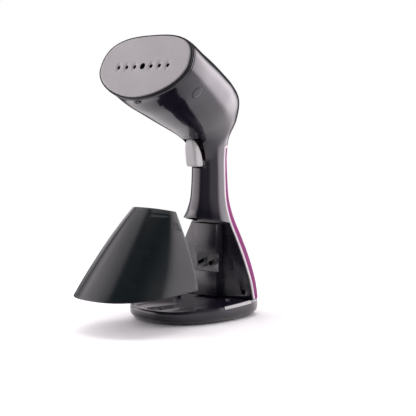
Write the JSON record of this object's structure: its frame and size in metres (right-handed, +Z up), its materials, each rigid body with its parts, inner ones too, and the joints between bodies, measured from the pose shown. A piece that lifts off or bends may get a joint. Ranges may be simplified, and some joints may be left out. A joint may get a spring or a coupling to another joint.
{
  "type": "garment steamer",
  "caption": "Handheld garment steamer standing on its own base, with a tilted oval steam plate, a trigger, a magenta rear cover and a smoky water tank drawn out of its bay.",
  "frame": {"origin": "On the table, under the axis of the handle, at the middle pad under the base.", "axes": "+Z up, -Y the way the steam plate and the water tank face, +X across the steamer."},
  "size_m": [0.122, 0.2224, 0.2883],
  "materials": {
    "dark_gloss": "glossy dark plastic",
    "matte_black": "fine matte plastic",
    "rubber_black": "soft black rubber",
    "steel": "plain steel",
    "light_grey": "satin light grey plastic",
    "magenta_gloss": "glossy magenta plastic",
    "silver_trim": "silver lacquered plastic",
    "plate_aluminium": "fine blasted aluminium",
    "rubber_red": "heat proof silicone",
    "cast_aluminium": "as cast",
    "element_steel": "heat tinted steel",
    "ceramic_white": "glazed ceramic",
    "switch_red": "moulded plastic",
    "board_green": "coated circuit board",
    "pump_white": "moulded plastic",
    "hose_clear": "milky silicone",
    "tank_smoke": "smoky see-through plastic",
    "filter_white": "sintered plastic"
  },
  "bodies": {
    "stand": {"base_tray": "dark_gloss", "bottom_plate": "matte_black", "rubber_feet": "rubber_black", "base_screws": "steel", "edge_strip_left": "light_grey", "edge_strip_right": "light_grey", "bay_stud_left": "steel", "bay_stud_right": "steel", "catch_spring": "steel", "catch_cup": "matte_black", "cord_gland": "rubber_black", "bay_wall": "dark_gloss", "port_seals": "rubber_black", "rear_cover": "magenta_gloss", "trim_strip": "silver_trim", "shell_left": "dark_gloss", "shell_right": "dark_gloss", "top_cover": "dark_gloss", "handle_floor": "matte_black", "screw_cap_left": "dark_gloss", "screw_cap_right": "dark_gloss", "plate_bezel": "matte_black", "steam_plate": "plate_aluminium", "plate_gasket": "rubber_red", "boiler_block": "cast_aluminium", "boiler_cover": "cast_aluminium", "heating_element": "element_steel", "thermostat": "steel", "thermal_fuse": "ceramic_white", "attachment_slot": "matte_black", "trigger_frame": "matte_black", "trigger_pin": "steel", "trigger_spring": "steel", "switch_body": "matte_black", "control_board": "board_green", "water_pump": "pump_white", "pump_cradle": "matte_black", "inlet_hose": "hose_clear", "outlet_hose": "hose_clear"},
    "tank": {"tank_shell": "tank_smoke", "tank_back": "tank_smoke", "tank_floor": "tank_smoke", "tank_roof": "tank_smoke", "tank_ports": "matte_black", "tank_filter": "filter_white"},
    "plug": {"fill_plug": "rubber_black"},
    "trigger": {"trigger": "light_grey"},
    "plunger": {"switch_plunger": "switch_red"},
    "catch": {"catch_button": "matte_black"}
  },
  "joints": [
    {"name": "tank_slide", "type": "slide", "parent": "stand", "child": "tank", "axis": [0, 0.9744, -0.225], "range_m": [0, 0.083]},
    {"name": "fill_plug_pull", "type": "slide", "parent": "tank", "child": "plug", "axis": [0, 0, 1], "range_m": [0, 0.008]},
    {"name": "trigger_press", "type": "hinge", "parent": "stand", "child": "trigger", "pos_m": [0, -0.013, 0.1855], "axis": [1, 0, 0], "range_deg": [0, 7], "stiffness_Nm_per_rad": 0.4, "springref_deg": -3.44},
    {"name": "switch_plunge", "type": "slide", "parent": "stand", "child": "plunger", "axis": [0, 1, 0], "range_m": [0, 0.0024]},
    {"name": "catch_press", "type": "slide", "parent": "stand", "child": "catch", "axis": [0, 0, -1], "range_m": [0, 0.0015], "stiffness_N_per_m": 300, "springref_m": -0.002, "deforming": ["catch_spring"]}
  ],
  "couplings": [
    {"joint": "switch_plunge", "follows": "trigger_press", "m_per_rad": 0.017}
  ]
}
